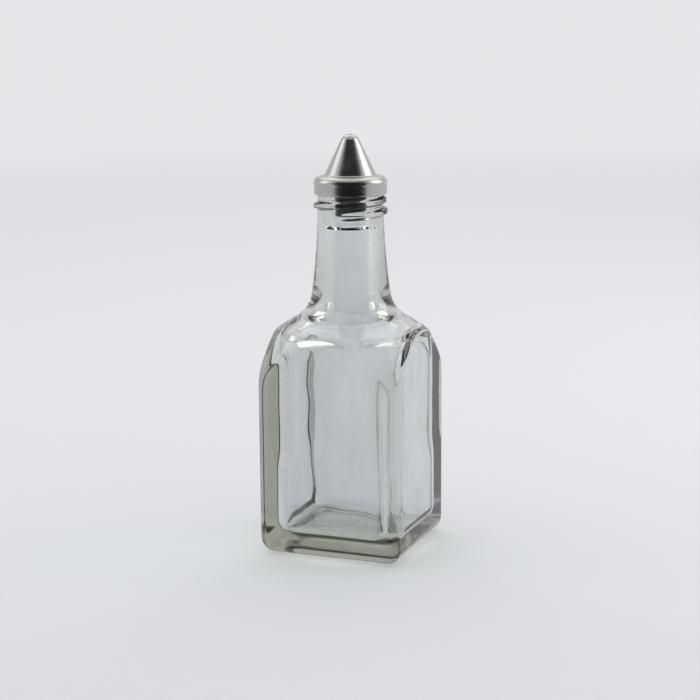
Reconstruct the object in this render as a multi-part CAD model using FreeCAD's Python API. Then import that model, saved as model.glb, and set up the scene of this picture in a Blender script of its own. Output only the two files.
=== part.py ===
"""Square glass vinegar bottle with a steel pouring cap.

The bottle is one piece of thick moulded glass: a square body, a shoulder whose
corners lean in and leave an arched top on each flat side, a round neck and a
threaded mouth. A black plastic insert plugs the mouth, and one thin sheet of
steel covers it: a short skirt, a shoulder and a cone with a pouring hole.

Millimetres, +Z up. The origin is the middle of the base, and the four flat
sides face +X, -X, +Y and -Y.
"""
import FreeCAD, Part
import math
import os

# Glass body
body_width = 57.0
glass_height = 140.4
corner_radius = 4.8
heel_radius = 6.5
side_wall = 5.5
floor_thickness = 8.5
inner_corner_radius = 8.0
inner_heel_radius = 4.0

# Shoulder: the corners bend in and lean, then a flatter dome runs to the neck
corner_bend_radius = 21.6
lean_angle = 29.5
lean_bend_radius = 7.7
dome_angle = 58.7
dome_length = 7.5
neck_foot_radius = 12.9
bore_foot_radius = 8.0
arch_edge_radius = 2.0

# Neck and mouth
neck_radius = 12.5
neck_flare_radius = 262.0
neck_flare_angle = 8.1
mouth_length = 4.4
bore_radius = 7.1
mouth_bore_radius = 6.2
mouth_bore_length = 15.4
mouth_bore_step = 1.2
lip_radius = 1.2
mouth_edge_width = 0.4

# Steel cap, one thin sheet
cap_sheet = 0.45
skirt_clearance = 0.92
skirt_overhang = 3.6
skirt_roll_radius = 0.9
skirt_roll_angle = 50.0
rim_rise = 0.7
rim_bend_radius = 0.5
rim_bend_angle = 30.0
shoulder_bend_radius = 2.6
shoulder_angle = 75.0
shoulder_width = 4.2
cone_foot_radius = 0.5
cone_angle = 25.9
cone_tip_radius = 3.9
pour_hole_radius = 1.2

# Thread on the mouth, just below the skirt
thread_pitch = 4.4
thread_height = 1.6
thread_root_width = 3.0
thread_crest_width = 1.2
thread_turns = 1.35
thread_below_skirt = 0.2
thread_top_angle = 38.0
thread_sink = 0.5

# Black plastic insert
flange_thickness = 1.1
flange_clearance = 0.12
plug_length = 11.7
plug_clearance = 0.05
plug_taper = 0.3
plug_end_round = 0.6
plug_bore_radius = 2.6

# How far a cutting shape runs past what it cuts, and how near counts as on it
PAST = 5.0
NEAR = 1e-3
# The round shoulder stands this far off the rounded corners where it starts
corner_gap = 0.05

axis_foot = FreeCAD.Vector(0, 0, 0)
upwards = FreeCAD.Vector(0, 0, 1)


def point(x, z):
    return FreeCAD.Vector(x, 0, z)


def straight(points):
    """Straight edges from point to point in the XZ plane."""
    return [Part.LineSegment(point(*a), point(*b)).toShape() for a, b in zip(points, points[1:])]


def along_arc(x, z, heading, radius, turn):
    """The place that an arc reaches when it leaves (x, z) at heading."""
    first = math.radians(heading)
    last = math.radians(heading + turn)
    reach = math.copysign(radius, turn)
    return (x - reach * (math.cos(first) - math.cos(last)),
            z + reach * (math.sin(last) - math.sin(first)))


def walk(start, heading, steps):
    """Edges and end of an outline in the XZ plane that walks away from start.

    heading is in degrees from straight up, positive towards the axis. A step
    is (length,) for a straight run or (radius, turn) for an arc.
    """
    x, z = start
    edges = []
    for step in steps:
        if len(step) == 1:
            angle = math.radians(heading)
            end = (x - step[0] * math.sin(angle), z + step[0] * math.cos(angle))
            edges.append(Part.LineSegment(point(x, z), point(*end)).toShape())
        else:
            radius, turn = step
            middle = along_arc(x, z, heading, radius, turn / 2)
            end = along_arc(x, z, heading, radius, turn)
            edges.append(Part.Arc(point(x, z), point(*middle), point(*end)).toShape())
            heading += turn
        x, z = end
    return edges, end


def turned(edges):
    """The solid that a closed outline in the XZ plane makes about Z."""
    face = Part.Face(Part.Wire(Part.__sortEdges__(edges)))
    return face.revolve(axis_foot, upwards, 360)


def upright(edge):
    return edge.BoundBox.XLength < NEAR and edge.BoundBox.YLength < NEAR


def square_block(width, base, top, corner, heel):
    """A square block with rounded upright corners and a rounded foot."""
    block = Part.makeBox(width, width, top - base, FreeCAD.Vector(-width / 2, -width / 2, base))
    # The larger rounding is made first, so that the smaller one runs round it
    for radius in sorted((corner, heel), reverse=True):
        if radius == corner:
            edges = [edge for edge in block.Edges if upright(edge)]
        else:
            edges = [edge for edge in block.Edges if edge.BoundBox.ZMax < base + NEAR]
        block = block.makeFillet(radius, edges)
    return block


# The shoulder is walked upwards from the corners to the neck. The length of
# the lean brings the walk in to the neck's radius, and its rise fixes the
# height at which the corners start to bend.
lean = math.radians(lean_angle)
dome = math.radians(dome_angle)
flare = math.radians(neck_flare_angle)
corner_reach = (body_width / 2 - corner_radius) * math.sqrt(2) + corner_radius + corner_gap
lean_run = (corner_reach - neck_radius
            - corner_bend_radius * (1 - math.cos(lean))
            - lean_bend_radius * (math.cos(lean) - math.cos(dome))
            - dome_length * math.sin(dome)
            - neck_foot_radius * (math.cos(flare) - math.cos(dome))
            - neck_flare_radius * (1 - math.cos(flare)))
lean_length = lean_run / math.sin(lean)
shoulder_rise = (corner_bend_radius * math.sin(lean)
                 + lean_length * math.cos(lean)
                 + lean_bend_radius * (math.sin(dome) - math.sin(lean))
                 + dome_length * math.cos(dome)
                 + neck_foot_radius * (math.sin(dome) - math.sin(flare))
                 + neck_flare_radius * math.sin(flare))
shoulder_start = glass_height - mouth_length - shoulder_rise


def on_side(edge):
    """Whether a curved edge lies on one of the four flat sides."""
    places = [edge.valueAt(edge.FirstParameter + share * (edge.LastParameter - edge.FirstParameter))
              for share in (0.2, 0.5, 0.8)]
    flat = all(abs(place.x) > body_width / 2 - NEAR for place in places)
    flat = flat or all(abs(place.y) > body_width / 2 - NEAR for place in places)
    return flat and not upright(edge) and edge.BoundBox.ZMin > shoulder_start


def glass_outside():
    block = square_block(body_width, 0, glass_height + PAST, corner_radius, heel_radius)
    start = (corner_reach, shoulder_start)
    edges, end = walk(start, 0, [
        (corner_bend_radius, lean_angle),
        (lean_length,),
        (lean_bend_radius, dome_angle - lean_angle),
        (dome_length,),
        (neck_foot_radius, neck_flare_angle - dome_angle),
        (neck_flare_radius, -neck_flare_angle),
        (mouth_length - lip_radius,),
        (lip_radius, 90),
    ])
    edges += straight([end, (0, glass_height), (0, -PAST), (corner_reach, -PAST), start])
    body = block.common(turned(edges))
    body = body.makeFillet(arch_edge_radius, [edge for edge in body.Edges if on_side(edge)])
    return body.fuse(thread())


def glass_inside():
    """The hollow: a square room whose roof follows the shoulder, and the bore."""
    room = square_block(body_width - 2 * side_wall, floor_thickness, glass_height + PAST,
                        inner_corner_radius, inner_heel_radius)
    inner_reach = corner_reach - side_wall
    start = (inner_reach, shoulder_start)
    inner_corner_bend = corner_bend_radius - side_wall
    inner_lean_bend = lean_bend_radius - side_wall
    roof_run = (inner_reach - bore_radius
                - inner_corner_bend * (1 - math.cos(lean))
                - lean_run
                - inner_lean_bend * (math.cos(lean) - math.cos(dome))
                - bore_foot_radius * (1 - math.cos(dome)))
    edges, foot = walk(start, 0, [
        (inner_corner_bend, lean_angle),
        (lean_length,),
        (inner_lean_bend, dome_angle - lean_angle),
        (roof_run / math.sin(dome),),
        (bore_foot_radius, -dome_angle),
    ])
    mouth_bore_foot = glass_height - mouth_bore_length
    edge_radius = mouth_bore_radius + mouth_edge_width
    edges += straight([
        foot,
        (bore_radius, mouth_bore_foot - mouth_bore_step),
        (mouth_bore_radius, mouth_bore_foot),
        (mouth_bore_radius, glass_height - mouth_edge_width),
        (edge_radius, glass_height),
        (edge_radius, glass_height + PAST),
        (0, glass_height + PAST),
        (0, 0),
        (inner_reach, 0),
        start,
    ])
    return room.common(turned(edges))


def thread():
    """The raised right-hand thread on the mouth, with its root sunk in."""
    root = neck_radius - thread_sink
    crest = neck_radius + thread_height
    half_root = thread_root_width / 2
    half_crest = thread_crest_width / 2
    section = Part.Wire(straight([
        (root, -half_root),
        (neck_radius, -half_root),
        (crest, -half_crest),
        (crest, half_crest),
        (neck_radius, half_root),
        (root, half_root),
        (root, -half_root),
    ]))
    drop = thread_turns * thread_pitch
    helix = Part.makeHelix(thread_pitch, drop, neck_radius)
    ridge = Part.Wire(helix.Edges).makePipeShell([section], True, True)
    top = glass_height - skirt_overhang - thread_below_skirt - half_root
    ridge.rotate(axis_foot, upwards, thread_top_angle - 360 * thread_turns)
    ridge.translate(upwards * (top - drop))
    return ridge


def glass_bottle():
    return glass_outside().cut(glass_inside())


# The cap's skirt clears the neck, and its rim stands out past the skirt
skirt_radius = neck_radius + skirt_clearance + cap_sheet
rim = math.radians(rim_bend_angle)
rim_radius = skirt_radius + 2 * rim_bend_radius * (1 - math.cos(rim))


def sheet_wall(inset):
    """Edges, foot and tip of one face of the cap's sheet.

    inset is 0 for the outer face and cap_sheet for the inner one: straight
    runs keep their length, and bends towards the axis lose the inset.
    """
    roll = math.radians(skirt_roll_angle)
    slope = math.radians(shoulder_angle)
    cone = math.radians(cone_angle)
    outer_foot = glass_height - skirt_overhang
    foot = (skirt_radius - skirt_roll_radius * (1 - math.cos(roll)) - inset * math.cos(roll),
            outer_foot + inset * math.sin(roll))
    skirt_run = (skirt_overhang + rim_rise - skirt_roll_radius * math.sin(roll)
                 - 2 * rim_bend_radius * math.sin(rim))
    foot_tangent = cone_foot_radius * math.tan((slope - cone) / 2)
    cone_base_radius = rim_radius - shoulder_width
    bend_width = shoulder_bend_radius * (1 - math.cos(slope))
    shoulder_run = (shoulder_width - bend_width) / math.sin(slope) - foot_tangent
    cone_run = (cone_base_radius - cone_tip_radius * math.cos(cone)) / math.sin(cone) - foot_tangent
    tip_radius = cone_tip_radius - inset
    tip_turn = math.degrees(math.acos(pour_hole_radius / tip_radius)) - cone_angle
    edges, tip = walk(foot, -skirt_roll_angle, [
        (skirt_roll_radius - inset, skirt_roll_angle),
        (skirt_run,),
        (rim_bend_radius + inset, -rim_bend_angle),
        (rim_bend_radius - inset, rim_bend_angle),
        (shoulder_bend_radius - inset, shoulder_angle),
        (shoulder_run,),
        (cone_foot_radius + inset, cone_angle - shoulder_angle),
        (cone_run,),
        (tip_radius, tip_turn),
    ])
    return edges, foot, tip


def pourer_cap():
    outer, outer_foot, outer_tip = sheet_wall(0)
    inner, inner_foot, inner_tip = sheet_wall(cap_sheet)
    return turned(outer + inner + straight([outer_tip, inner_tip]) + straight([outer_foot, inner_foot]))


def pourer_insert():
    """The plug that closes the mouth, with a flange that lies on the lip."""
    flange_radius = skirt_radius - cap_sheet - flange_clearance
    flange_top = glass_height + flange_thickness
    plug_radius = mouth_bore_radius - plug_clearance
    end_radius = plug_radius - plug_taper
    plug_foot = glass_height - plug_length
    rounding_start = (end_radius - plug_end_round, plug_foot)
    rounding, rounding_end = walk(rounding_start, -90, [(plug_end_round, 90)])
    return turned(rounding + straight([
        rounding_end,
        (plug_radius, glass_height - mouth_edge_width),
        (plug_radius, glass_height),
        (flange_radius, glass_height),
        (flange_radius, flange_top),
        (plug_bore_radius, flange_top),
        (plug_bore_radius, plug_foot),
        rounding_start,
    ]))


nodes = {
    "glass_bottle": glass_bottle,
    "pourer_insert": pourer_insert,
    "pourer_cap": pourer_cap,
}
os.makedirs("parts", exist_ok=True)
for name, make in nodes.items():
    make().exportStep("parts/" + name + ".step")
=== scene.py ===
import math
import bpy
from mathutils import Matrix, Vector


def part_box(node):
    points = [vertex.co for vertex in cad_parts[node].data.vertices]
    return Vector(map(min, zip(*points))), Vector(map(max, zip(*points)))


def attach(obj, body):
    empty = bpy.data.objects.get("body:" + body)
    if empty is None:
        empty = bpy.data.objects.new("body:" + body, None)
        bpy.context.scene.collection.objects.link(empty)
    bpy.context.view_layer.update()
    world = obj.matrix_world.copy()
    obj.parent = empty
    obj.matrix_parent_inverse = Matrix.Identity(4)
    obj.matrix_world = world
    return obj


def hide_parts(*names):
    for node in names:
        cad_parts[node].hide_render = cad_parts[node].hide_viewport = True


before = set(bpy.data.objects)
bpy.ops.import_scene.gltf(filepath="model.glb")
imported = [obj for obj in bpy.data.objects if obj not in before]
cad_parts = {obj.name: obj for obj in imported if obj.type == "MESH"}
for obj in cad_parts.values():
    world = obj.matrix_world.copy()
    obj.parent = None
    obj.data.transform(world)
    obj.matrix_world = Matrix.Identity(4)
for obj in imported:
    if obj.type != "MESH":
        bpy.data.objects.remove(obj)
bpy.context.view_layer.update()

# ---------------------------------------------------------------------------
# The glass bottle: one piece of clear moulded soda-lime glass. A square body
# on a thick foot runs through arched shoulders into a round neck, with a low
# thread raised on its mouth. The hollow was blown, so its wall is a bit wavy.
# ---------------------------------------------------------------------------
MM = 0.001
OPEN = 1.0
body_half = 28.5 * MM
corner_radius = 4.8 * MM
heel_radius = 6.5 * MM
side_wall = 5.5 * MM
floor_thickness = 8.5 * MM
base_hollow = 0.6 * MM
base_hollow_steepness = 5
inner_corner_radius = 8 * MM
settled_corner_radius = 12 * MM
settle_height = 37 * MM
settle_half_height = 5.5 * MM
inner_heel_radius = 4 * MM
arch_blend = 1 * MM
inner_arch_blend = 3.5 * MM

corner_bend_radius = 21.6 * MM
lean_angle = math.radians(29.5)
lean_bend_radius = 7.7 * MM
dome_angle = math.radians(58.7)
dome_length = 7.5 * MM
neck_foot_radius = 12.9 * MM
bore_foot_radius = 14 * MM

neck_radius = 12.5 * MM
neck_flare_radius = 262 * MM
neck_flare_angle = math.radians(8.1)
mouth_length = 4.4 * MM
bore_radius = 7.1 * MM
mouth_bore_radius = 6.2 * MM
mouth_bore_length = 15.4 * MM
mouth_bore_step = 1.2 * MM
lip_radius = 1.2 * MM
mouth_edge_width = 0.4 * MM

thread_pitch = 4.4 * MM
thread_rise = 1.6 * MM
thread_half_width = 1.6 * MM
thread_steepness = 1.7
thread_turns = 1.35
thread_top_drop = 5.3 * MM
thread_top_angle = math.radians(38)
thread_fade = math.radians(40)
thread_least_reach = neck_radius * 0.95

wave_height = 0.14 * MM
wave_size = 15 * MM
wave_seed = 3.0
wave_detail = 1.0
wave_roughness = 0.4
wave_gain = 4.0
wave_vertical_share = 0.5
wave_fade = 6

edge_hold = 0.12 * MM
merge_distance = 1e-6
base_rings = 22
heel_rings = 12
inner_floor_rings = 12
inner_heel_rings = 8
shoulder_spacing = 0.4 * MM
neck_spacing = 2.2 * MM
neck_turn_step = math.radians(0.5)
mouth_spacing = 0.3 * MM
lip_turn_step = math.radians(12)
wall_spacing = 2 * MM
wall_top_gap = 1 * MM
roof_spacing = 0.55 * MM
bore_spacing = 2.4 * MM
mouth_bore_spacing = 5 * MM
bottle_columns = 256
bottle_crowding = 1.7

clean_glass = (0.915, 0.93, 0.955)
filmed_glass = (0.875, 0.89, 0.915)
film_patch = 16 * MM
smear_patch = 7 * MM
smear_roughness = 0.035
ripple_grain = (5 * MM, 5 * MM, 9 * MM)
ripple_depth = 0.012 * MM
stipple_top = 2.0 * MM
stipple_full = 0.2 * MM
stipple_grain = (1.3 * MM, 1.3 * MM, 1.3 * MM)
stipple_depth = 0.12 * MM
stipple_roughness = 0.22
glass_bend = 1.52
glass_body_colour = (0.60, 0.61, 0.51)
glass_body_density = 36.0
glass_shadow_colour = (0.97, 0.98, 0.98)

glass_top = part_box("glass_bottle")[1].z


def walk(start, heading, steps, spacing, turn_step=math.radians(5)):
    """Places (radius, height) along an outline, from start, with no gap over spacing.

    heading is measured from straight up, positive towards the axis. A step is
    (length,) for a straight run or (radius, turn) for an arc. A ring close to
    each end of a run keeps the bend beside it crisp.
    """
    places = [start]
    for step in steps:
        radius, height = places[-1]
        if len(step) == 1:
            count = max(1, math.ceil(step[0] / spacing))
            runs = [step[0] * share / count for share in range(1, count + 1)]
            if step[0] > 4 * edge_hold:
                runs = [edge_hold] + runs[:-1] + [step[0] - edge_hold, step[0]]
            for run in runs:
                places.append((radius - run * math.sin(heading), height + run * math.cos(heading)))
            continue
        bend, turn = step
        count = max(2, math.ceil(abs(turn) / turn_step), math.ceil(bend * abs(turn) / spacing))
        reach = math.copysign(bend, turn)
        for share in range(1, count + 1):
            angle = heading + turn * share / count
            places.append((radius - reach * (math.cos(heading) - math.cos(angle)),
                           height + reach * (math.sin(angle) - math.sin(heading))))
        heading += turn
    return places


def stations(places, half=OPEN, corner=0.0, wavy=0.0):
    """Each place with its square section: half its width, its corner radius and its waviness."""
    return [(radius, height, half, corner, wavy) for radius, height in places]


def flat_rings(height, reach, half, corner, wavy, count, hollow=0.0):
    """A square face, as rings that grow from the middle to its edge, dished by its hollow."""
    rings = []
    for ring in range(count + 1):
        dish = math.sin(math.pi / 2 * min(1, (1 - ring / count) * base_hollow_steepness)) ** 2
        wave = min(1, wave_fade * ring / count, wave_fade - wave_fade * ring / count)
        rings.append((reach, height + hollow * dish, half * ring / count, corner * ring / count,
                      wavy * wave))
    return rings


def foot_rings(base, reach, half, corner, rounding, shrink, wavy, count):
    """The rounded foot of a square block, from its flat face up to its sides."""
    rings = []
    for ring in range(1, count + 1):
        angle = math.pi / 2 * ring / count
        inset = rounding * (1 - math.sin(angle))
        rings.append((reach, base + rounding * (1 - math.cos(angle)), half - inset,
                      corner - shrink * inset, wavy))
    return rings


def bottle_outline():
    """Stations down the bottle's whole surface: outside from the base up, then the hollow."""
    lean_in = math.cos(lean_angle)
    dome_in = math.cos(dome_angle)
    flare_in = math.cos(neck_flare_angle)
    corner_reach = (body_half - corner_radius) * math.sqrt(2) + corner_radius
    lean_run = (corner_reach - neck_radius - corner_bend_radius * (1 - lean_in)
                - lean_bend_radius * (lean_in - dome_in) - dome_length * math.sin(dome_angle)
                - neck_foot_radius * (flare_in - dome_in) - neck_flare_radius * (1 - flare_in))
    lean_length = lean_run / math.sin(lean_angle)
    rise = (corner_bend_radius * math.sin(lean_angle) + lean_length * lean_in
            + lean_bend_radius * (math.sin(dome_angle) - math.sin(lean_angle)) + dome_length * dome_in
            + neck_foot_radius * (math.sin(dome_angle) - math.sin(neck_flare_angle))
            + neck_flare_radius * math.sin(neck_flare_angle))
    shoulder_start = glass_top - mouth_length - rise

    heel_shrink = corner_radius / heel_radius
    heel_corner = corner_radius - heel_shrink * heel_radius
    outside = flat_rings(0, corner_reach, body_half - heel_radius, heel_corner, 1, base_rings,
                         base_hollow)
    outside += foot_rings(0, corner_reach, body_half, corner_radius, heel_radius, heel_shrink, 0,
                          heel_rings)
    shoulder = walk((corner_reach, shoulder_start), 0, [
        (corner_bend_radius, lean_angle),
        (lean_length,),
        (lean_bend_radius, dome_angle - lean_angle),
        (dome_length,),
        (neck_foot_radius, neck_flare_angle - dome_angle),
    ], shoulder_spacing)
    neck = walk(shoulder[-1], neck_flare_angle, [(neck_flare_radius, -neck_flare_angle)],
                neck_spacing, neck_turn_step)
    thread_foot = glass_top - thread_top_drop - thread_turns * thread_pitch - 2 * thread_half_width
    neck = [place for place in neck if place[1] < thread_foot]
    mouth = []
    height = thread_foot
    while height < glass_top - lip_radius:
        below = max(glass_top - mouth_length - height, 0)
        radius = neck_radius + neck_flare_radius - math.sqrt(neck_flare_radius ** 2 - below ** 2)
        mouth.append((radius, height))
        height += mouth_spacing
    lip = walk((neck_radius, glass_top - lip_radius), 0, [(lip_radius, math.pi / 2)],
               mouth_spacing, lip_turn_step)
    outside += stations(shoulder + neck[1:] + mouth + lip, body_half, corner_radius)

    inner_half = body_half - side_wall
    inner_reach = corner_reach - side_wall
    inner_corner_bend = corner_bend_radius - side_wall
    inner_lean_bend = lean_bend_radius - side_wall
    roof_run = (inner_reach - bore_radius - inner_corner_bend * (1 - lean_in) - lean_run
                - inner_lean_bend * (lean_in - dome_in) - bore_foot_radius * (1 - dome_in))
    roof = walk((inner_reach, shoulder_start), 0, [
        (inner_corner_bend, lean_angle),
        (lean_length,),
        (inner_lean_bend, dome_angle - lean_angle),
        (roof_run / math.sin(dome_angle),),
        (bore_foot_radius, -dome_angle),
    ], roof_spacing)
    step_foot = glass_top - mouth_bore_length - mouth_bore_step
    step_turn = math.atan2(bore_radius - mouth_bore_radius, mouth_bore_step)
    bore = walk(roof[-1], 0, [(step_foot - roof[-1][1],)], bore_spacing)
    mouth_bore = walk(bore[-1], step_turn, [(mouth_bore_step / math.cos(step_turn),)],
                      mouth_bore_spacing)
    mouth_bore += walk(mouth_bore[-1], 0, [(mouth_bore_length - mouth_edge_width,)],
                       mouth_bore_spacing)[1:]
    mouth_bore += walk(mouth_bore[-1], -math.pi / 4, [(mouth_edge_width * math.sqrt(2),)],
                       mouth_bore_spacing)[1:]
    inside = flat_rings(floor_thickness, inner_reach, inner_half - inner_heel_radius,
                        inner_corner_radius - inner_heel_radius, 1, inner_floor_rings)
    inside += foot_rings(floor_thickness, inner_reach, inner_half, inner_corner_radius,
                         inner_heel_radius, 1, 1, inner_heel_rings)
    wall_top = shoulder_start - wall_top_gap
    wall = walk((inner_reach, inside[-1][1]), 0, [(wall_top - inside[-1][1],)], wall_spacing)
    for reach, height in wall[1:] + roof + bore[1:]:
        settled = min(max((height - settle_height) / settle_half_height, -1), 1)
        settled = (math.sin(math.pi / 2 * settled) + 1) / 2
        corner = inner_corner_radius + (settled_corner_radius - inner_corner_radius) * settled
        inside.append((reach, height, inner_half, corner, 1))
    inside += stations(mouth_bore[1:], inner_half, settled_corner_radius)
    return outside + inside[::-1]


class Field:
    """A number that changes over a surface, so that node sums read like sums."""

    def __init__(self, tree, socket):
        self.tree, self.socket = tree, socket

    def apply(self, operation, *others):
        node = self.tree.nodes.new("ShaderNodeMath")
        node.operation = operation
        for socket, value in zip(node.inputs, (self, *others)):
            feed(self.tree, socket, value)
        return Field(self.tree, node.outputs[0])

    def __add__(self, other):
        return self.apply("ADD", other)

    def __sub__(self, other):
        return self.apply("SUBTRACT", other)

    def __mul__(self, other):
        return self.apply("MULTIPLY", other)

    def __truediv__(self, other):
        return self.apply("DIVIDE", other)

    def __neg__(self):
        return self.apply("MULTIPLY", -1.0)


def feed(tree, socket, value):
    """Link a field or a socket into a socket, or set the socket to a plain value."""
    if isinstance(value, Field):
        value = value.socket
    if isinstance(value, bpy.types.NodeSocket):
        tree.links.new(value, socket)
    else:
        socket.default_value = value


def add_node(tree, kind, inputs=None, **settings):
    """A node of that kind, with its settings and its inputs by name or number."""
    node = tree.nodes.new(kind)
    for name, value in settings.items():
        setattr(node, name, value)
    for name, value in (inputs or {}).items():
        feed(tree, node.inputs[name], value)
    return node


def new_group(name, kind, inputs, outputs):
    """A node group with those sockets, and its inputs by name."""
    tree = bpy.data.node_groups.new(name, kind)
    for label, socket in inputs:
        tree.interface.new_socket(name=label, in_out="INPUT", socket_type=socket)
    for label, socket in outputs:
        tree.interface.new_socket(name=label, in_out="OUTPUT", socket_type=socket)
    entry = tree.nodes.new("NodeGroupInput")
    return tree, {label: entry.outputs[label] for label, _ in inputs}


FLOAT = "NodeSocketFloat"


def square_radius_group():
    """How far a rounded square reaches, at an angle from the middle of a side."""
    tree, given = new_group("Rounded square reach", "GeometryNodeTree",
                            [("Half Width", FLOAT), ("Corner", FLOAT), ("Angle", FLOAT)],
                            [("Reach", FLOAT)])
    half = Field(tree, given["Half Width"])
    corner = Field(tree, given["Corner"])
    angle = Field(tree, given["Angle"])
    side = half / angle.apply("COSINE")
    centre = (half - corner) * math.sqrt(2)
    off = -(angle - math.pi / 4)
    across = centre * off.apply("SINE")
    round_part = centre * off.apply("COSINE") + (corner * corner - across * across).apply("SQRT")
    on_corner = (half * angle.apply("TANGENT")).apply("GREATER_THAN", half - corner)
    reach = side + (round_part - side) * on_corner
    leave = tree.nodes.new("NodeGroupOutput")
    feed(tree, leave.inputs["Reach"], reach)
    return tree


def thread_group():
    """How far one turn of a raised thread stands out at an angle and a height."""
    tree, given = new_group("Raised thread turn", "GeometryNodeTree",
                            [("Angle", FLOAT), ("Height", FLOAT), ("Turn", FLOAT), ("Top", FLOAT),
                             ("Top Angle", FLOAT), ("Pitch", FLOAT), ("Turns", FLOAT),
                             ("Half Width", FLOAT), ("Rise", FLOAT), ("Fade", FLOAT)],
                            [("Rise", FLOAT)])
    field = {label: Field(tree, socket) for label, socket in given.items()}
    down = (field["Top Angle"] - field["Angle"]).apply("FLOORED_MODULO", 2 * math.pi)
    down = down + field["Turn"] * (2 * math.pi)
    crest = field["Top"] - down * field["Pitch"] / (2 * math.pi)
    off = (field["Height"] - crest).apply("ABSOLUTE") / field["Half Width"]
    start = down / field["Fade"]
    end = (field["Turns"] * (2 * math.pi) - down) / field["Fade"]
    fade = start.apply("MINIMUM", end).apply("MINIMUM", 1.0).apply("MAXIMUM", 0.0)
    fade = fade.apply("MULTIPLY", math.pi / 2).apply("SINE")
    ridge = (-(off - 1.0)).apply("MAXIMUM", 0.0) * thread_steepness
    ridge = ridge.apply("MINIMUM", 1.0)
    # An easing curve that leaves 0 and reaches 1 level
    ridge = ridge * ridge * (-(ridge * 2.0 - 3.0))
    leave = tree.nodes.new("NodeGroupOutput")
    feed(tree, leave.inputs["Rise"], ridge * field["Rise"] * fade)
    return tree


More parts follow.
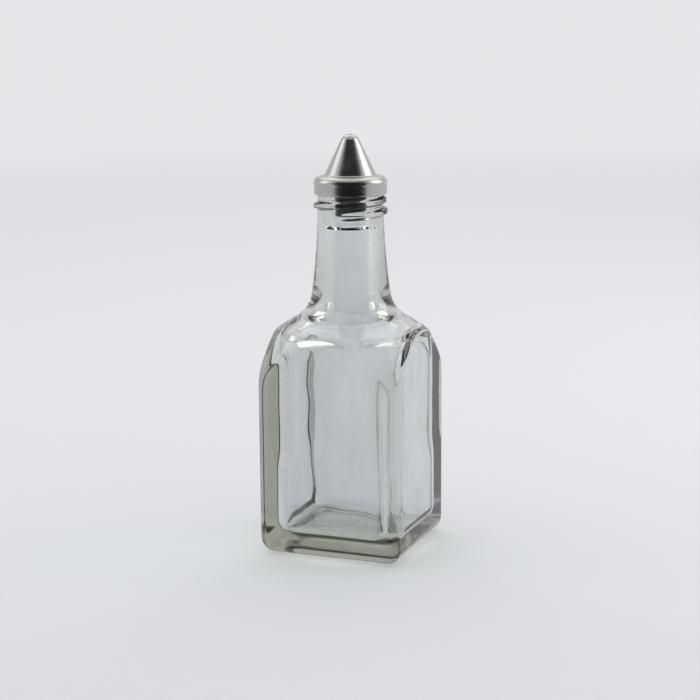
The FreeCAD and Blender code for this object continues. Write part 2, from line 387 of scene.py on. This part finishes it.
def shell_tree():
    """Turns an outline of stations into a closed shell that is round or square.

    Each station is a ring. Its radius is the smaller of its own reach and its
    rounded square's, with a soft edge where the two cross.
    """
    tree, given = new_group(
        "Ringed shell", "GeometryNodeTree",
        [("Geometry", "NodeSocketGeometry"), ("Stations", "NodeSocketInt"),
         ("Columns", "NodeSocketInt"),
         ("Corner Crowding", FLOAT), ("Edge Blend", FLOAT), ("Wavy Edge Blend", FLOAT),
         ("Wave Height", FLOAT), ("Wave Size", FLOAT), ("Wave Seed", FLOAT),
         ("Thread Top", FLOAT), ("Thread Top Angle", FLOAT), ("Thread Pitch", FLOAT),
         ("Thread Turns", FLOAT), ("Thread Half Width", FLOAT), ("Thread Rise", FLOAT),
         ("Thread Fade", FLOAT), ("Thread Reach", FLOAT), ("Material", "NodeSocketMaterial")],
        [("Geometry", "NodeSocketGeometry")])
    columns = Field(tree, given["Columns"]) + 1.0
    grid = add_node(tree, "GeometryNodeMeshGrid",
                    {"Size X": 1.0, "Size Y": 1.0, "Vertices X": columns,
                     "Vertices Y": given["Stations"]})
    grid_place = tree.nodes.new("GeometryNodeInputPosition").outputs[0]
    place = add_node(tree, "ShaderNodeSeparateXYZ", {0: grid_place})
    row = (Field(tree, place.outputs["Y"]) + 0.5) * (Field(tree, given["Stations"]) - 1.0)
    row = row.apply("ROUND")
    outline_place = tree.nodes.new("GeometryNodeInputPosition").outputs[0]
    section = add_node(tree, "GeometryNodeInputNamedAttribute", {"Name": "section"},
                       data_type="FLOAT_VECTOR").outputs[0]
    parts = []
    for value in (outline_place, section):
        taken = add_node(tree, "GeometryNodeSampleIndex",
                         {"Geometry": given["Geometry"], "Index": row},
                         data_type="FLOAT_VECTOR", domain="POINT")
        entry = next(socket for socket in taken.inputs if socket.name == "Value" and socket.enabled)
        feed(tree, entry, value)
        result = next(socket for socket in taken.outputs if socket.enabled)
        parts.append(add_node(tree, "ShaderNodeSeparateXYZ", {0: result}))
    reach = Field(tree, parts[0].outputs["X"])
    height = Field(tree, parts[0].outputs["Z"])
    half, corner, wavy = (Field(tree, parts[1].outputs[axis]) for axis in "XYZ")

    # Columns crowd towards the corners, where the surface bends most
    quarter = (Field(tree, place.outputs["X"]) + 0.5) * 4.0
    side = quarter.apply("ROUND")
    share = (quarter - side).apply("ABSOLUTE") * 2.0
    crowded = -((-(share - 1.0)).apply("POWER", Field(tree, given["Corner Crowding"])) - 1.0)
    off_side = crowded * (math.pi / 4)
    angle = side * (math.pi / 2) + off_side * (quarter - side).apply("SIGN")

    square = add_node(tree, "GeometryNodeGroup", node_tree=square_radius_group())
    for label, value in (("Half Width", half), ("Corner", corner), ("Angle", off_side)):
        feed(tree, square.inputs[label], value)
    square_reach = Field(tree, square.outputs[0])
    blend = Field(tree, given["Edge Blend"])
    blend = blend + (Field(tree, given["Wavy Edge Blend"]) - blend) * wavy
    # A quarter of the blend comes off where the two are equal, and nothing a blend away
    near = (-((reach - square_reach).apply("ABSOLUTE") / blend - 1.0)).apply("MAXIMUM", 0.0)
    radius = reach.apply("MINIMUM", square_reach) - near * near * blend * 0.25

    thread = thread_group()
    rises = []
    for turn in (0.0, 1.0):
        ridge = add_node(tree, "GeometryNodeGroup", node_tree=thread)
        for label, value in (("Angle", angle), ("Height", height), ("Turn", turn),
                             ("Top", given["Thread Top"]), ("Top Angle", given["Thread Top Angle"]),
                             ("Pitch", given["Thread Pitch"]), ("Turns", given["Thread Turns"]),
                             ("Half Width", given["Thread Half Width"]), ("Rise", given["Thread Rise"]),
                             ("Fade", given["Thread Fade"])):
            feed(tree, ridge.inputs[label], value)
        rises.append(Field(tree, ridge.outputs[0]))
    outside = reach.apply("GREATER_THAN", Field(tree, given["Thread Reach"]))
    radius = radius + rises[0].apply("MAXIMUM", rises[1]) * outside

    spot = add_node(tree, "ShaderNodeCombineXYZ",
                    {"X": radius * angle.apply("COSINE"), "Y": radius * angle.apply("SINE"),
                     "Z": height})
    noise = add_node(tree, "ShaderNodeTexNoise",
                     {"Vector": spot.outputs[0], "W": given["Wave Seed"],
                      "Scale": Field(tree, given["Wave Size"]).apply("POWER", -1.0),
                      "Detail": wave_detail, "Roughness": wave_roughness}, noise_dimensions="4D")
    swell = (Field(tree, noise.outputs[0]) - 0.5) * wave_gain * wavy * Field(tree, given["Wave Height"])
    radius = radius + swell
    spot = add_node(tree, "ShaderNodeCombineXYZ",
                    {"X": radius * angle.apply("COSINE"), "Y": radius * angle.apply("SINE"),
                     "Z": height + swell * wave_vertical_share})
    shell = add_node(tree, "GeometryNodeSetPosition",
                     {"Geometry": grid.outputs["Mesh"], "Position": spot.outputs[0]})
    shell = add_node(tree, "GeometryNodeMergeByDistance",
                     {"Geometry": shell.outputs[0], "Distance": merge_distance})
    shell = add_node(tree, "GeometryNodeSetShadeSmooth",
                     {"Geometry": shell.outputs[0], "Shade Smooth": True})
    shell = add_node(tree, "GeometryNodeRealizeInstances", {"Geometry": shell.outputs[0]})
    shell = add_node(tree, "GeometryNodeSetMaterial",
                     {"Geometry": shell.outputs[0], "Material": given["Material"]})
    leave = tree.nodes.new("NodeGroupOutput")
    feed(tree, leave.inputs["Geometry"], shell.outputs[0])
    return tree


ringed_shell = shell_tree()


def shell_piece(name, outline, columns, material, **sizes):
    """A piece made by the ringed shell from its outline, as a plain mesh."""
    mesh = bpy.data.meshes.new(name)
    mesh.from_pydata([(station[0], 0, station[1]) for station in outline],
                     [(first, first + 1) for first in range(len(outline) - 1)], [])
    section = mesh.attributes.new("section", "FLOAT_VECTOR", "POINT")
    section.data.foreach_set("vector", [number for station in outline for number in station[2:]])
    piece = bpy.data.objects.new(name, mesh)
    bpy.context.scene.collection.objects.link(piece)
    inputs = {"Stations": len(outline), "Columns": columns, "Corner Crowding": 1.0,
              "Edge Blend": arch_blend, "Wavy Edge Blend": inner_arch_blend,
              "Wave Height": 0.0, "Wave Size": wave_size, "Wave Seed": wave_seed,
              "Thread Turns": 0.0, "Thread Pitch": thread_pitch,
              "Thread Half Width": thread_half_width,
              "Thread Fade": thread_fade, "Thread Reach": OPEN, "Material": material}
    inputs.update(sizes)
    modifier = piece.modifiers.new("Shape", "NODES")
    modifier.node_group = ringed_shell
    for item in ringed_shell.interface.items_tree:
        if item.item_type == "SOCKET" and item.name in inputs:
            modifier[item.identifier] = inputs[item.name]
    graph = bpy.context.evaluated_depsgraph_get()
    plain = bpy.data.meshes.new_from_object(piece.evaluated_get(graph), depsgraph=graph)
    piece.modifiers.remove(modifier)
    piece.data = plain
    return piece


def new_material(name):
    """A new material, its tree and its principled shader."""
    material = bpy.data.materials.new(name)
    material.use_nodes = True
    return material, material.node_tree, material.node_tree.nodes["Principled BSDF"]


unmarked_level = 0.4
marked_level = 0.66


def handling_group():
    """Soft patches left by handling: how marked the surface is, from 0 to 1."""
    tree, given = new_group("Handling marks", "ShaderNodeTree",
                            [("Place", "NodeSocketVector"), ("Patch Size", FLOAT), ("Least", FLOAT),
                             ("Most", FLOAT), ("Seed", FLOAT)],
                            [("Value", FLOAT)])
    patches = add_node(tree, "ShaderNodeTexNoise",
                       {"Vector": given["Place"], "W": given["Seed"],
                        "Scale": Field(tree, given["Patch Size"]).apply("POWER", -1.0),
                        "Detail": 5.0, "Roughness": 0.6, "Distortion": 0.4}, noise_dimensions="4D")
    value = add_node(tree, "ShaderNodeMapRange",
                     {"Value": patches.outputs[0], "From Min": unmarked_level, "From Max": marked_level,
                      "To Min": given["Least"], "To Max": given["Most"]},
                     interpolation_type="SMOOTHSTEP")
    leave = tree.nodes.new("NodeGroupOutput")
    feed(tree, leave.inputs["Value"], value.outputs[0])
    return tree


def relief_group():
    """A fine relief, stretched along each axis: its height from 0 to 1."""
    tree, given = new_group("Fine relief", "ShaderNodeTree",
                            [("Place", "NodeSocketVector"), ("Grain", "NodeSocketVector"),
                             ("Detail", FLOAT), ("Seed", FLOAT)],
                            [("Height", FLOAT)])
    share = add_node(tree, "ShaderNodeVectorMath", {0: given["Place"], 1: given["Grain"]},
                     operation="DIVIDE")
    grain = add_node(tree, "ShaderNodeTexNoise",
                     {"Vector": share.outputs[0], "W": given["Seed"], "Scale": 1.0,
                      "Detail": given["Detail"], "Roughness": 0.5}, noise_dimensions="4D")
    leave = tree.nodes.new("NodeGroupOutput")
    feed(tree, leave.inputs["Height"], grain.outputs[0])
    return tree


handling_marks = handling_group()
fine_relief = relief_group()


def add_marks(tree, place, patch_size, least, most, seed):
    """Handling marks in a material, as a value between least and most."""
    marks = add_node(tree, "ShaderNodeGroup", node_tree=handling_marks)
    for label, value in (("Place", place), ("Patch Size", patch_size), ("Least", least),
                         ("Most", most), ("Seed", seed)):
        feed(tree, marks.inputs[label], value)
    return marks.outputs[0]


def add_relief(tree, place, grain, detail, seed):
    """Fine relief in a material: its height from 0 to 1."""
    relief = add_node(tree, "ShaderNodeGroup", node_tree=fine_relief)
    for label, value in (("Place", place), ("Grain", grain), ("Detail", detail), ("Seed", seed)):
        feed(tree, relief.inputs[label], value)
    return Field(tree, relief.outputs[0])


def emboss(tree, shader, height, depth):
    """Raise a material's surface by that depth where the height is 1."""
    bump = add_node(tree, "ShaderNodeBump", {"Strength": 1.0, "Distance": depth, "Height": height})
    feed(tree, shader.inputs["Normal"], bump.outputs[0])


def blend_colours(tree, share, first, second):
    """A colour between two, by a share from 0 to 1."""
    mix = add_node(tree, "ShaderNodeMix", data_type="RGBA")
    for number, value in ((0, share), (6, (*first, 1)), (7, (*second, 1))):
        feed(tree, mix.inputs[number], value)
    return mix.outputs[2]


def glass_material():
    """Clear glass with a film from handling, a rippled skin and a stippled foot."""
    material, tree, shader = new_material("moulded_glass")
    place = tree.nodes.new("ShaderNodeTexCoord").outputs["Object"]
    film = add_marks(tree, place, film_patch, least=0.0, most=1.0, seed=1.0)
    feed(tree, shader.inputs["Base Color"], blend_colours(tree, film, clean_glass, filmed_glass))
    apart = add_node(tree, "ShaderNodeSeparateXYZ", {0: place})
    foot = add_node(tree, "ShaderNodeMapRange",
                    {"Value": apart.outputs["Z"], "From Min": stipple_top,
                     "From Max": stipple_full})
    foot = Field(tree, foot.outputs[0])
    smears = Field(tree, add_marks(tree, place, smear_patch, least=0.0, most=smear_roughness, seed=2.0))
    feed(tree, shader.inputs["Roughness"], smears + foot * stipple_roughness)
    ripple = add_relief(tree, place, ripple_grain, detail=1.0, seed=3.0)
    stipple = add_relief(tree, place, stipple_grain, detail=1.0, seed=10.0)
    emboss(tree, shader, ripple * ripple_depth + stipple * foot * stipple_depth, 1.0)
    shader.inputs["IOR"].default_value = glass_bend
    shader.inputs["Transmission Weight"].default_value = 1.0
    absorb = add_node(tree, "ShaderNodeVolumeAbsorption",
                      {"Color": (*glass_body_colour, 1), "Density": glass_body_density})
    rays = tree.nodes.new("ShaderNodeLightPath")
    clear = add_node(tree, "ShaderNodeBsdfTransparent", {"Color": (*glass_shadow_colour, 1)})
    mix = add_node(tree, "ShaderNodeMixShader",
                   {0: rays.outputs["Is Shadow Ray"], 1: shader.outputs[0], 2: clear.outputs[0]})
    output = next(node for node in tree.nodes if node.type == "OUTPUT_MATERIAL")
    tree.links.new(mix.outputs[0], output.inputs["Surface"])
    tree.links.new(absorb.outputs[0], output.inputs["Volume"])
    return material


bottle = shell_piece(
    "bottle_glass", bottle_outline(), bottle_columns, glass_material(),
    **{"Corner Crowding": bottle_crowding, "Wave Height": wave_height,
       "Thread Top": glass_top - thread_top_drop,
       "Thread Top Angle": thread_top_angle, "Thread Turns": thread_turns, "Thread Rise": thread_rise,
       "Thread Reach": thread_least_reach})
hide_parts("glass_bottle")
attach(bottle, "root")

# ---------------------------------------------------------------------------
# The pouring insert: a black moulded plastic plug, pushed into the mouth, with
# a flange that lies on the lip and a bore that the vinegar runs through.
# ---------------------------------------------------------------------------
flange_radius = 13.3 * MM
flange_thickness = 1.1 * MM
flange_edge = 0.25 * MM
plug_clearance = 0.05 * MM
plug_taper = 0.3 * MM
plug_end_round = 0.6 * MM
plug_bore_radius = 2.6 * MM
plug_length = 11.7 * MM
plug_spacing = 1.5 * MM
plug_bore_spacing = 2 * MM
plug_end_turn_step = math.radians(10)
flange_turn_step = math.radians(15)
insert_columns = 128
new_black = (0.007, 0.007, 0.008)
worn_black = (0.012, 0.012, 0.013)
wear_patch = 3 * MM
scuff_patch = 2 * MM
least_scuffed = 0.42
most_scuffed = 0.58
plastic_grain = (0.3 * MM, 0.3 * MM, 0.3 * MM)
plastic_grain_depth = 0.012 * MM


def insert_outline():
    """Stations round the insert's section, from the foot of its bore."""
    plug_radius = mouth_bore_radius - plug_clearance
    end_radius = plug_radius - plug_taper
    foot = glass_top - plug_length
    top = glass_top + flange_thickness
    end = walk((plug_bore_radius, foot), -math.pi / 2, [
        (end_radius - plug_end_round - plug_bore_radius,),
        (plug_end_round, math.pi / 2),
    ], plug_spacing, plug_end_turn_step)
    flange = walk((plug_radius, glass_top), -math.pi / 2, [
        (flange_radius - flange_edge - plug_radius,),
        (flange_edge, math.pi / 2),
        (flange_thickness - 2 * flange_edge,),
        (flange_edge, math.pi / 2),
        (flange_radius - flange_edge - plug_bore_radius,),
    ], plug_spacing, flange_turn_step)
    bore = walk(flange[-1], math.pi, [(top - foot,)], plug_bore_spacing)
    return stations(end + [(plug_radius, glass_top - mouth_edge_width)] + flange + bore[1:])


def plastic_material():
    """Black moulded plastic with a fine grain, worn in patches."""
    material, tree, shader = new_material("black_plastic")
    place = tree.nodes.new("ShaderNodeTexCoord").outputs["Object"]
    wear = add_marks(tree, place, wear_patch, least=0.0, most=1.0, seed=4.0)
    feed(tree, shader.inputs["Base Color"], blend_colours(tree, wear, new_black, worn_black))
    scuffs = add_marks(tree, place, scuff_patch, least_scuffed, most_scuffed, seed=5.0)
    feed(tree, shader.inputs["Roughness"], scuffs)
    shader.inputs["Specular IOR Level"].default_value = 0.25
    grain = add_relief(tree, place, plastic_grain, detail=2.0, seed=6.0)
    emboss(tree, shader, grain, plastic_grain_depth)
    return material


insert = shell_piece("insert_plug", insert_outline(), insert_columns, plastic_material())
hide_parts("pourer_insert")
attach(insert, "root")

# ---------------------------------------------------------------------------
# The pouring cap: one thin sheet of stainless steel, spun into a short skirt
# with a rolled foot, a rounded shoulder and a cone with a hole at its tip.
# ---------------------------------------------------------------------------
cap_sheet = 0.45 * MM
skirt_radius = 13.87 * MM
skirt_overhang = 3.6 * MM
skirt_roll_radius = 0.9 * MM
skirt_roll_angle = math.radians(50)
rim_rise = 0.7 * MM
rim_bend_radius = 0.5 * MM
rim_bend_angle = math.radians(30)
shoulder_bend_radius = 2.6 * MM
shoulder_angle = math.radians(75)
shoulder_width = 4.2 * MM
cone_foot_radius = 0.5 * MM
cone_angle = math.radians(25.9)
cone_tip_radius = 3.9 * MM
pour_hole_radius = 1.2 * MM
sheet_spacing = 0.8 * MM
sheet_turn_step = math.radians(6)
cap_columns = 192
clean_steel = (0.52, 0.515, 0.50)
stained_steel = (0.48, 0.47, 0.45)
stain_patch = 9 * MM
polish_patch = 8 * MM
most_polished = 0.25
least_polished = 0.30
turned_ring_width = 0.35 * MM
turned_ring_depth = 0.002 * MM


def sheet_wall(inset):
    """One face of the sheet, from the skirt's foot to the pouring hole."""
    rim_radius = skirt_radius + 2 * rim_bend_radius * (1 - math.cos(rim_bend_angle))
    foot_radius = skirt_radius - skirt_roll_radius * (1 - math.cos(skirt_roll_angle))
    foot = (foot_radius - inset * math.cos(skirt_roll_angle),
            glass_top - skirt_overhang + inset * math.sin(skirt_roll_angle))
    skirt_run = (skirt_overhang + rim_rise - skirt_roll_radius * math.sin(skirt_roll_angle)
                 - 2 * rim_bend_radius * math.sin(rim_bend_angle))
    foot_tangent = cone_foot_radius * math.tan((shoulder_angle - cone_angle) / 2)
    bend_width = shoulder_bend_radius * (1 - math.cos(shoulder_angle))
    shoulder_run = (shoulder_width - bend_width) / math.sin(shoulder_angle) - foot_tangent
    cone_width = rim_radius - shoulder_width - cone_tip_radius * math.cos(cone_angle)
    tip_radius = cone_tip_radius - inset
    return walk(foot, -skirt_roll_angle, [
        (skirt_roll_radius - inset, skirt_roll_angle),
        (skirt_run,),
        (rim_bend_radius + inset, -rim_bend_angle),
        (rim_bend_radius - inset, rim_bend_angle),
        (shoulder_bend_radius - inset, shoulder_angle),
        (shoulder_run,),
        (cone_foot_radius + inset, cone_angle - shoulder_angle),
        (cone_width / math.sin(cone_angle) - foot_tangent,),
        (tip_radius, math.acos(pour_hole_radius / tip_radius) - cone_angle),
    ], sheet_spacing, sheet_turn_step)


def steel_material():
    """Stainless steel with fine rings from spinning, a little stained and unevenly polished."""
    material, tree, shader = new_material("spun_steel")
    shader.inputs["Metallic"].default_value = 1.0
    place = tree.nodes.new("ShaderNodeTexCoord").outputs["Object"]
    stain = add_marks(tree, place, stain_patch, least=0.0, most=1.0, seed=7.0)
    feed(tree, shader.inputs["Base Color"], blend_colours(tree, stain, clean_steel, stained_steel))
    polish = add_marks(tree, place, polish_patch, most_polished, least_polished, seed=8.0)
    feed(tree, shader.inputs["Roughness"], polish)
    apart = add_node(tree, "ShaderNodeSeparateXYZ", {0: place})
    flat = add_node(tree, "ShaderNodeCombineXYZ", {"X": apart.outputs["X"], "Y": apart.outputs["Y"]})
    out = add_node(tree, "ShaderNodeVectorMath", {0: flat.outputs[0]}, operation="LENGTH")
    ring = add_node(tree, "ShaderNodeCombineXYZ", {"X": out.outputs["Value"], "Z": apart.outputs["Z"]})
    ring_grain = (turned_ring_width, MM, turned_ring_width)
    rings = add_relief(tree, ring.outputs[0], ring_grain, detail=2.0, seed=9.0)
    emboss(tree, shader, rings, turned_ring_depth)
    return material


outer_sheet = sheet_wall(0)
inner_sheet = sheet_wall(cap_sheet)
cap_outline = stations(outer_sheet + inner_sheet[::-1] + outer_sheet[:1])
cap = shell_piece("cap_steel", cap_outline, cap_columns, steel_material())
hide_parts("pourer_cap")
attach(cap, "root")

# ---------------------------------------------------------------------------
# The studio: a wide pale floor with a painted pool of light under the bottle,
# soft lamps behind and at both sides, a black card in front that reflections
# see, and the camera, a little above the bottle.
# ---------------------------------------------------------------------------
camera_turn = math.radians(21.25)
camera_distance = 0.6545
camera_height = 0.2055
camera_tilt = math.radians(11.15)
camera_roll = math.radians(-0.44)
camera_side_aim = math.radians(-0.055)
camera_lens = 89.0
sensor_width = 36

floor_colour = (0.80, 0.81, 0.83)
# Painted light: the floor is painted lighter under the bottle, as a pool of light where light let
# through the glass would fall
painted_light_colour = (0.97, 0.98, 0.98)
painted_light_inner = 0.024
painted_light_outer = 0.036
far_floor_colour = (0.78, 0.795, 0.815)
far_floor_start = 0.5
far_floor_end = 2.2

sky_colour = (0.98, 0.99, 1.0)
sky_strength = 0.67
card_colour = (0.01, 0.01, 0.01)
card_eye_height = 0.14


def floor_material():
    """A matt pale floor, painted lighter under the bottle: a painted pool of light where light through
    the glass would fall. Far off, the camera, glass and steel see a plain pale colour instead.
    """
    material, tree, shader = new_material("pale_floor")
    place = tree.nodes.new("ShaderNodeTexCoord").outputs["Object"]
    away = add_node(tree, "ShaderNodeVectorMath", {0: place}, operation="LENGTH").outputs["Value"]
    # Painted pool of light: the floor's colour turns lighter under the bottle
    centre = add_node(tree, "ShaderNodeMapRange",
                      {"Value": away, "From Min": painted_light_outer, "From Max": painted_light_inner},
                      interpolation_type="SMOOTHSTEP")
    colour = blend_colours(tree, centre.outputs[0], floor_colour, painted_light_colour)
    feed(tree, shader.inputs["Base Color"], colour)
    shader.inputs["Roughness"].default_value = 0.7
    shader.inputs["Specular IOR Level"].default_value = 0.1
    far = add_node(tree, "ShaderNodeMapRange",
                   {"Value": away, "From Min": far_floor_start, "From Max": far_floor_end},
                   interpolation_type="SMOOTHSTEP")
    rays = tree.nodes.new("ShaderNodeLightPath")
    seen = Field(tree, rays.outputs["Is Camera Ray"])
    seen = seen.apply("MAXIMUM", Field(tree, rays.outputs["Is Glossy Ray"]))
    seen = seen.apply("MAXIMUM", Field(tree, rays.outputs["Is Transmission Ray"]))
    pale = add_node(tree, "ShaderNodeEmission", {"Color": (*far_floor_colour, 1), "Strength": 1.0})
    mix = add_node(tree, "ShaderNodeMixShader",
                   {0: seen * Field(tree, far.outputs[0]), 1: shader.outputs[0], 2: pale.outputs[0]})
    output = next(node for node in tree.nodes if node.type == "OUTPUT_MATERIAL")
    tree.links.new(mix.outputs[0], output.inputs["Surface"])
    return material


def make_floor():
    """A round floor that sweeps up into a low wall all round."""
    drop = 0.3 * MM
    floor_radius = 2.4
    sweep = 0.6
    sweep_steps = 12
    wall_top = 1.0
    turns = 96
    profile = [(0.3, -drop), (1.0, -drop), (floor_radius, -drop)]
    for step in range(1, sweep_steps + 1):
        angle = math.pi / 2 * step / sweep_steps
        profile.append((floor_radius + sweep * math.sin(angle), sweep * (1 - math.cos(angle)) - drop))
    profile.append((floor_radius + sweep, wall_top))
    places = []
    for radius, height in profile:
        for turn in range(turns):
            angle = 2 * math.pi * turn / turns
            places.append((radius * math.cos(angle), radius * math.sin(angle), height))
    faces = [tuple(range(turns))]
    for ring in range(len(profile) - 1):
        for turn in range(turns):
            after = (turn + 1) % turns
            faces.append((ring * turns + after, ring * turns + turn,
                          (ring + 1) * turns + turn, (ring + 1) * turns + after))
    mesh = bpy.data.meshes.new("floor")
    mesh.from_pydata(places, [], faces)
    mesh.shade_smooth()
    mesh.materials.append(floor_material())
    floor = bpy.data.objects.new("floor", mesh)
    bpy.context.scene.collection.objects.link(floor)


def from_bottle(azimuth, elevation, distance, height=0.1):
    """A place seen from the bottle; azimuth runs right from the camera's side, in degrees."""
    turn = camera_turn + math.radians(azimuth)
    rise = math.radians(elevation)
    return Vector((math.sin(turn) * math.cos(rise) * distance,
                   -math.cos(turn) * math.cos(rise) * distance,
                   math.sin(rise) * distance + height))


def add_softbox(name, place, aim, width, height, brightness):
    """A soft rectangular lamp, as bright to look at as a surface of that brightness."""
    lamp = bpy.data.lights.new(name, "AREA")
    lamp.shape = "RECTANGLE"
    lamp.size = width
    lamp.size_y = height
    lamp.energy = brightness * math.pi * width * height
    light = bpy.data.objects.new(name, lamp)
    light.location = place
    light.rotation_euler = (aim - place).to_track_quat("-Z", "Y").to_euler()
    bpy.context.scene.collection.objects.link(light)


def add_dark_card(name, edges):
    """A black card, bent round the bottle's front, that only reflections see.

    edges run from its foot to its top: (elevation, distance, half its span).
    The first three lie just above the floor, so reflections of it are black there.
    """
    material, _, shader = new_material(name)
    shader.inputs["Base Color"].default_value = (*card_colour, 1)
    shader.inputs["Roughness"].default_value = 1.0
    steps = 12
    places = []
    for elevation, distance, half_span in edges:
        for share in range(steps + 1):
            azimuth = half_span * (2 * share / steps - 1)
            places.append(from_bottle(azimuth, elevation, distance, card_eye_height))
    faces = []
    for row in range(len(edges) - 1):
        for share in range(steps):
            first = row * (steps + 1) + share
            faces.append((first, first + 1, first + steps + 2, first + steps + 1))
    mesh = bpy.data.meshes.new(name)
    mesh.from_pydata([tuple(place) for place in places], [], faces)
    mesh.materials.append(material)
    card = bpy.data.objects.new(name, mesh)
    card.visible_camera = False
    card.visible_diffuse = False
    card.visible_transmission = False
    card.visible_shadow = False
    bpy.context.scene.collection.objects.link(card)


def make_world():
    """Even, nearly white light from all round."""
    world = bpy.data.worlds.new("studio")
    world.use_nodes = True
    background = world.node_tree.nodes["Background"]
    background.inputs["Color"].default_value = (*sky_colour, 1)
    background.inputs["Strength"].default_value = sky_strength
    bpy.context.scene.world = world


def make_camera():
    """The camera, a little above the bottle and turned to show its near corner."""
    data = bpy.data.cameras.new("camera")
    data.lens = camera_lens
    data.sensor_width = sensor_width
    camera = bpy.data.objects.new("camera", data)
    back = Vector((math.sin(camera_turn), -math.cos(camera_turn), 0))
    camera.location = back * camera_distance + Vector((0, 0, camera_height))
    camera.rotation_euler = (math.pi / 2 - camera_tilt, 0, camera_turn - camera_side_aim)
    camera.rotation_mode = "XYZ"
    camera.rotation_euler.rotate_axis("Z", camera_roll)
    bpy.context.scene.collection.objects.link(camera)
    bpy.context.scene.camera = camera


make_floor()
make_world()
make_camera()
add_softbox("softbox_back", from_bottle(180, 50, 1.5), from_bottle(180, 0, 0.35, 0),
            width=1.6, height=1.2, brightness=0.95)
add_softbox("softbox_left", from_bottle(-100, 33, 0.9), from_bottle(0, 0, 0, 0.13),
            width=0.42, height=0.5, brightness=1.2)
add_softbox("softbox_right", from_bottle(100, 33, 0.9), from_bottle(0, 0, 0, 0.13),
            width=0.42, height=0.5, brightness=2.8)
add_dark_card("dark_card", [(-66, 0.152, 48), (-35, 0.238, 48), (-10.4, 0.75, 48), (15, 0.75, 52),
                            (30, 0.75, 60), (60, 0.75, 60)])

bpy.context.scene.view_settings.view_transform = "Standard"
